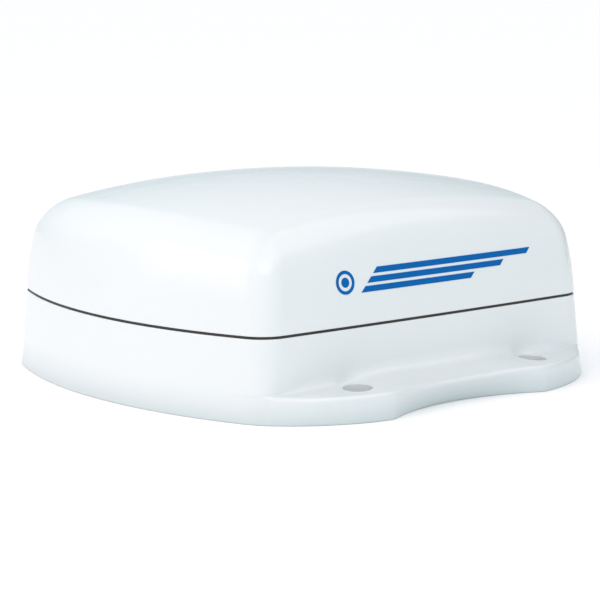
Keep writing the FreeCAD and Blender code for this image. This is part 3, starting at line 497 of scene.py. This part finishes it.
def socket_cutter(x, y, ledge):
    """The recess over one bolt, flared so that its rim is rounded. ledge holds a quarter of the ledge."""
    near = ledge[np.hypot(ledge[:, 0] - abs(x), ledge[:, 1] - abs(y)) < SOCKET_NEAR]
    terms = np.stack([np.ones(len(near)), near[:, 0] - abs(x), near[:, 1] - abs(y)], axis=1)
    top, slope_x, slope_y = np.linalg.lstsq(terms, near[:, 2], rcond=None)[0]
    last = math.radians(90 - SOCKET_EDGE_SLOPE)
    edge = []
    for a in np.linspace(0, last, SOCKET_EDGE_STEPS):
        edge.append((SOCKET_R + SOCKET_EDGE_R * (1 - math.cos(a)),
                     top - SOCKET_EDGE_R * (math.sin(last) - math.sin(a))))
    # the flare runs on above the ledge, so that it crosses it at a clear angle
    edge.append((edge[-1][0] + SOCKET_FLARE * math.sin(last), edge[-1][1] + SOCKET_FLARE * math.cos(last)))
    profile = [(0, SOCKET_FLOOR), (SOCKET_R, SOCKET_FLOOR)] + edge
    profile += [(edge[-1][0], CUTTER_TOP), (0, CUTTER_TOP)]
    cutter = lathe(profile, (x, y, 0), SOCKET_SIDES)
    # everything but the two flat ends follows the slope of the ledge
    for vertex in cutter.data.vertices:
        if SOCKET_FLOOR + 1 < vertex.co.z / MM < CUTTER_TOP - 5:
            out_x, out_y = abs(vertex.co.x) - abs(x) * MM, abs(vertex.co.y) - abs(y) * MM
            vertex.co.z += slope_x * out_x + slope_y * out_y
    return cutter


def make_base():
    seam, normals = quadrant(0.0, 0.0, CORNER_R)
    outside, ledge = outside_rows(seam)
    columns = all_round(np.stack(inside_rows(seam, normals) + outside, axis=1))
    base = shell_from_columns("base_shell", columns, (0, 0, FLOOR), (0, 0, 0))
    bosses = [rod(COVER_BOSS_R, BOSS_FOOT, SEAM_LOW - BOSS_GAP, x, y) for x, y in four(COVER_BOSS)]
    bosses += [rod(CHASSIS_BOSS_R, BOSS_FOOT, CHASSIS_Z, x, y) for x, y in four(CHASSIS_SCREW)]
    bosses.append(rod_aft(INLET_PAD_R, INLET_PAD_ENDS, INLET_Z))
    combine(base, bosses, "UNION")
    holes = [rod_aft(INLET_BORE_R, INLET_BORE_ENDS, INLET_Z)]
    holes.append(rod(VENT_R, -OVERSHOOT, FLOOR + OVERSHOOT, *VENT))
    holes += [rod(SLEEVE_RO, -OVERSHOOT, SOCKET_FLOOR + SHORT_OVERSHOOT, x, y) for x, y in four(BOLT)]
    holes += [rod(COVER_HEAD_BORE, -OVERSHOOT, COVER_HEAD_Z, x, y) for x, y in four(COVER_BOSS)]
    combine(base, holes, "DIFFERENCE")
    # one at a time, which the Boolean takes better than four at once
    for x, y in four(BOLT):
        combine(base, [socket_cutter(x, y, np.concatenate(ledge))], "DIFFERENCE")
    shade(base, BASE_SHARP)
    return base


# ---------------------------------------------------------------- material steps
NOISE_LOW, NOISE_HIGH = 0.3, 0.7                         # the part of a noise's range that is used


def material(name, colour, roughness, metallic=0.0, coat=0.0, specular=0.5):
    mat = bpy.data.materials.new(name)
    mat.use_nodes = True
    shader = mat.node_tree.nodes["Principled BSDF"]
    shader.inputs["Base Color"].default_value = (*colour, 1.0)
    shader.inputs["Roughness"].default_value = roughness
    shader.inputs["Metallic"].default_value = metallic
    shader.inputs["Coat Weight"].default_value = coat
    shader.inputs["Specular IOR Level"].default_value = specular
    return mat, mat.node_tree, shader


def noise(tree, scale, detail, stretch=(1.0, 1.0, 1.0)):
    where = tree.nodes.new("ShaderNodeTexCoord")
    mapping = tree.nodes.new("ShaderNodeMapping")
    mapping.inputs["Scale"].default_value = stretch
    texture = tree.nodes.new("ShaderNodeTexNoise")
    texture.inputs["Scale"].default_value = scale
    texture.inputs["Detail"].default_value = detail
    tree.links.new(where.outputs["Object"], mapping.inputs["Vector"])
    tree.links.new(mapping.outputs["Vector"], texture.inputs["Vector"])
    return texture.outputs["Fac"]


def vary_gloss(tree, shader, fac, low, high):
    """Lets the roughness follow a noise between two values."""
    step = tree.nodes.new("ShaderNodeMapRange")
    step.inputs["From Min"].default_value = NOISE_LOW
    step.inputs["From Max"].default_value = NOISE_HIGH
    step.inputs["To Min"].default_value = low
    step.inputs["To Max"].default_value = high
    tree.links.new(fac, step.inputs["Value"])
    tree.links.new(step.outputs["Result"], shader.inputs["Roughness"])


def vary_colour(tree, shader, fac, first, second):
    """Lets the colour follow a noise between two colours, and returns it."""
    ramp = tree.nodes.new("ShaderNodeValToRGB")
    ends = ramp.color_ramp.elements
    for end, place, colour in ((ends[0], NOISE_LOW, first), (ends[1], NOISE_HIGH, second)):
        end.position = place
        end.color = (*colour, 1.0)
    tree.links.new(fac, ramp.inputs["Fac"])
    tree.links.new(ramp.outputs["Color"], shader.inputs["Base Color"])
    return ramp.outputs["Color"]


def math_step(tree, operation, value, second=0.0):
    step = tree.nodes.new("ShaderNodeMath")
    step.operation = operation
    step.inputs[1].default_value = second
    tree.links.new(value, step.inputs[0])
    return step.outputs["Value"]


def painted_foot_shade(tree, shader, colour, top_mm, curve, share):
    """Darkens the colour below top_mm: painted shade towards the foot. share is what the foot keeps of each
    channel.
    """
    where = tree.nodes.new("ShaderNodeTexCoord")
    split = tree.nodes.new("ShaderNodeSeparateXYZ")
    tree.links.new(where.outputs["Object"], split.inputs["Vector"])
    depth = tree.nodes.new("ShaderNodeMapRange")
    depth.inputs["From Max"].default_value = top_mm * MM
    depth.inputs["To Min"].default_value = 1.0
    depth.inputs["To Max"].default_value = 0.0
    tree.links.new(split.outputs["Z"], depth.inputs["Value"])
    foot_shade = tree.nodes.new("ShaderNodeMix")
    foot_shade.data_type = "RGBA"
    foot_shade.blend_type = "MULTIPLY"
    foot_shade.inputs["B"].default_value = (*share, 1.0)
    tree.links.new(math_step(tree, "POWER", depth.outputs["Result"], curve), foot_shade.inputs["Factor"])
    tree.links.new(colour, foot_shade.inputs["A"])
    tree.links.new(foot_shade.outputs["Result"], shader.inputs["Base Color"])


def add_bump(tree, shader, fac, distance_mm, strength=1.0):
    bump = tree.nodes.new("ShaderNodeBump")
    bump.inputs["Strength"].default_value = strength
    bump.inputs["Distance"].default_value = distance_mm * MM
    tree.links.new(fac, bump.inputs["Height"])
    tree.links.new(bump.outputs["Normal"], shader.inputs["Normal"])


# ---------------------------------------------------------------- materials
TINT_SCALE, GLOSS_SCALE = 22.0, 60.0                     # of the noises in a shop material
GLOSS_SPREAD, GLOSS_MIN = 0.06, 0.02                     # how far its roughness wanders, and its least

FINISHES = {
    "mark_blue": dict(colour=(0.0, 0.108, 0.37), roughness=0.45, grain=900.0, specular=0.08),
    "seal_rubber": dict(colour=(0.018, 0.015, 0.012), roughness=0.6, grain=700.0, depth_mm=0.03),
    "stainless": dict(colour=(0.58, 0.57, 0.55), roughness=0.3, metallic=1.0, grain=250.0,
                      stretch=(1.0, 1.0, 12.0)),
    "brass": dict(colour=(0.72, 0.52, 0.22), roughness=0.28, metallic=1.0, grain=300.0,
                  stretch=(1.0, 1.0, 9.0)),
    "gold_pin": dict(colour=(0.83, 0.62, 0.24), roughness=0.18, metallic=1.0),
    "chassis_aluminium": dict(colour=(0.62, 0.63, 0.65), roughness=0.36, metallic=1.0,
                              stretch=(1.0, 14.0, 1.0)),
    "cast_aluminium": dict(colour=(0.50, 0.51, 0.53), roughness=0.48, metallic=1.0, grain=500.0,
                           depth_mm=0.06),
    "bearing_steel": dict(colour=(0.66, 0.66, 0.68), roughness=0.12, metallic=1.0, depth_mm=0.003),
    "spring_steel": dict(colour=(0.10, 0.10, 0.11), roughness=0.35, metallic=0.9),
    "zinc_steel": dict(colour=(0.60, 0.61, 0.58), roughness=0.32, metallic=1.0, tint=0.15),
    "motor_black": dict(colour=(0.022, 0.022, 0.025), roughness=0.42, metallic=0.2, depth_mm=0.02),
    "gear_white": dict(colour=(0.78, 0.77, 0.71), roughness=0.42),
    "black_plastic": dict(colour=(0.02, 0.02, 0.021), roughness=0.45, depth_mm=0.03),
    "connector_black": dict(colour=(0.03, 0.03, 0.031), roughness=0.4, depth_mm=0.04),
    "board_green": dict(colour=(0.012, 0.12, 0.045), roughness=0.3, coat=0.4, tint=0.25),
    "chip_black": dict(colour=(0.015, 0.015, 0.017), roughness=0.55, depth_mm=0.02),
    "capacitor_sleeve": dict(colour=(0.02, 0.025, 0.09), roughness=0.3, coat=0.3),
    "ferrite": dict(colour=(0.06, 0.055, 0.05), roughness=0.7, depth_mm=0.08),
    "foam_white": dict(colour=(0.82, 0.82, 0.79), roughness=0.8, grain=900.0, depth_mm=0.12),
    "patch_copper": dict(colour=(0.80, 0.42, 0.26), roughness=0.25, metallic=1.0, tint=0.2),
    "array_aluminium": dict(colour=(0.68, 0.69, 0.70), roughness=0.33, metallic=1.0,
                            stretch=(12.0, 1.0, 1.0)),
    "vent_grey": dict(colour=(0.10, 0.105, 0.11), roughness=0.5, depth_mm=0.03),
}


def finish_material(name, colour, roughness, metallic=0.0, coat=0.0, specular=0.5, tint=0.06, grain=400.0,
                    depth_mm=0.01, stretch=(1.0, 1.0, 1.0)):
    """A shop material: slightly uneven colour, uneven gloss and a fine surface grain."""
    mat, tree, shader = material(name, colour, roughness, metallic, coat, specular)
    darker = tuple(c * (1 - tint) for c in colour)
    vary_colour(tree, shader, noise(tree, TINT_SCALE, 4.0), darker, colour)
    smoothest = max(GLOSS_MIN, roughness - GLOSS_SPREAD)
    vary_gloss(tree, shader, noise(tree, GLOSS_SCALE, 3.0, stretch), smoothest, roughness + GLOSS_SPREAD)
    add_bump(tree, shader, noise(tree, grain, 2.0, stretch), depth_mm)
    return mat


def white_gelcoat():
    """Glossy white moulded plastic, a little cool, with the faint waviness of a large moulding."""
    mat, tree, shader = material("white_shell", (0.67, 0.705, 0.715), 0.2)
    colour = vary_colour(tree, shader, noise(tree, 9.0, 3.0), (0.664, 0.703, 0.711), (0.674, 0.711, 0.719))
    # painted shade: the shell's colour darkens towards its foot
    painted_foot_shade(tree, shader, colour, top_mm=31.0, curve=1.5, share=(0.75, 0.81, 0.82))
    vary_gloss(tree, shader, noise(tree, 35.0, 3.0), 0.17, 0.23)
    add_bump(tree, shader, noise(tree, 14.0, 0.0), distance_mm=0.03, strength=0.4)
    return mat


def paint_all():
    """Makes every material, gives each CAD node its own and returns them by slot."""
    mats = {name: finish_material(name, **finish) for name, finish in FINISHES.items()}
    mats["white_shell"] = white_gelcoat()
    slots = {part["node"]: part["material_slot"] for part in frame["record"]["subparts"]}
    for node, obj in frame["nodes"].items():
        obj.data.materials.clear()
        obj.data.materials.append(mats[slots[node]])
    return mats


# ---------------------------------------------------------------- stage, in metres
FLOOR_REACH, FLOOR_DROP = 40.0, 0.0002
OVERHEAD_GLOW, LEFT_GLOW, END_GLOW = (1.01, 0.95, 0.97), (0.64, 0.54, 0.56), (0.54, 0.70, 0.74)
LAMP_AIM, PANEL_AIM = (0, 0, 0.08), (0, 0, 0.13)
CAMERA_PLACE, CAMERA_AIM = Vector((-1.4126, -1.6992, 0.4327)), Vector((0.00075, -0.00062, 0.0647))
CAMERA_LENS, CAMERA_SENSOR = 138.0, 36.0                 # millimetres


def build_stage():
    corners = [(sx * FLOOR_REACH, sy * FLOOR_REACH, 0) for sx, sy in ((-1, -1), (1, -1), (1, 1), (-1, 1))]
    mesh = bpy.data.meshes.new("floor")
    mesh.from_pydata(corners, [], [(0, 1, 2, 3)])
    floor = bpy.data.objects.new("floor", mesh)
    bpy.context.scene.collection.objects.link(floor)
    mat, _, _ = material("floor_pale", (0.95, 0.95, 0.95), 0.9, specular=0.0)
    floor.data.materials.append(mat)
    floor.location.z = -FLOOR_DROP


def facing(place, aim):
    """The rotation of a lamp or camera that stands at place and looks at aim."""
    return (Vector(aim) - Vector(place)).to_track_quat("-Z", "Y").to_euler()


def area_light(name, watts, size, place, aim, colour=(1.0, 1.0, 1.0)):
    light = bpy.data.lights.new(name, "AREA")
    light.energy = watts
    light.shape = "RECTANGLE"
    light.size, light.size_y = size
    light.color = colour
    obj = bpy.data.objects.new(name, light)
    obj.location = place
    obj.rotation_euler = facing(place, aim)
    bpy.context.scene.collection.objects.link(obj)
    return obj


def tinted(tree, value, colour):
    """A colour scaled by a value that varies."""
    step = tree.nodes.new("ShaderNodeVectorMath")
    step.operation = "SCALE"
    step.inputs[0].default_value = colour
    tree.links.new(value, step.inputs["Scale"])
    return step.outputs["Vector"]


def added(tree, first, second):
    step = tree.nodes.new("ShaderNodeVectorMath")
    tree.links.new(first, step.inputs[0])
    tree.links.new(second, step.inputs[1])
    return step.outputs["Vector"]


def build_world():
    """A studio that is bright overhead and to the left, softer fore and aft, and dark to the right."""
    world = bpy.data.worlds.new("studio")
    world.use_nodes = True
    tree = world.node_tree
    where = tree.nodes.new("ShaderNodeTexCoord")
    split = tree.nodes.new("ShaderNodeSeparateXYZ")
    tree.links.new(where.outputs["Generated"], split.inputs["Vector"])
    overhead = math_step(tree, "MAXIMUM", split.outputs["Z"])
    left = math_step(tree, "MAXIMUM", math_step(tree, "MULTIPLY", split.outputs["X"], -1.0))
    ends = math_step(tree, "ABSOLUTE", split.outputs["Y"])
    total = added(tree, tinted(tree, overhead, OVERHEAD_GLOW), tinted(tree, left, LEFT_GLOW))
    total = added(tree, total, tinted(tree, ends, END_GLOW))
    tree.links.new(total, tree.nodes["Background"].inputs["Color"])
    bpy.context.scene.world = world


def build_light():
    build_world()
    area_light("key", watts=6.9, size=(1.4, 1.0), place=(-1.7, 0.4, 0.85), aim=LAMP_AIM,
               colour=(1.0, 0.89, 0.85))
    area_light("fill", watts=7.4, size=(1.2, 0.9), place=(-0.8, -1.5, 1.4), aim=LAMP_AIM,
               colour=(0.98, 0.95, 0.87))
    # a panel above and off the bow that shows only in the gloss of the shoulder
    panel = area_light("panel", watts=5.2, size=(1.8, 1.0), place=(0.44, -0.54, 1.42), aim=PANEL_AIM)
    panel.visible_diffuse = False
    bpy.context.scene.view_settings.view_transform = "Standard"


def build_camera():
    camera = bpy.data.cameras.new("camera")
    camera.sensor_width = CAMERA_SENSOR
    camera.lens = CAMERA_LENS
    obj = bpy.data.objects.new("camera", camera)
    obj.location = CAMERA_PLACE
    obj.rotation_euler = facing(CAMERA_PLACE, CAMERA_AIM)
    bpy.context.scene.collection.objects.link(obj)
    bpy.context.scene.camera = obj


# ---------------------------------------------------------------- the scene
mats = paint_all()
cover = make_cover()
base = make_base()
for piece, node in ((cover, "radome_cover"), (base, "base_housing")):
    piece.data.materials.clear()
    piece.data.materials.append(mats["white_shell"])
    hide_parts(node)
build_stage()
build_light()
build_camera()
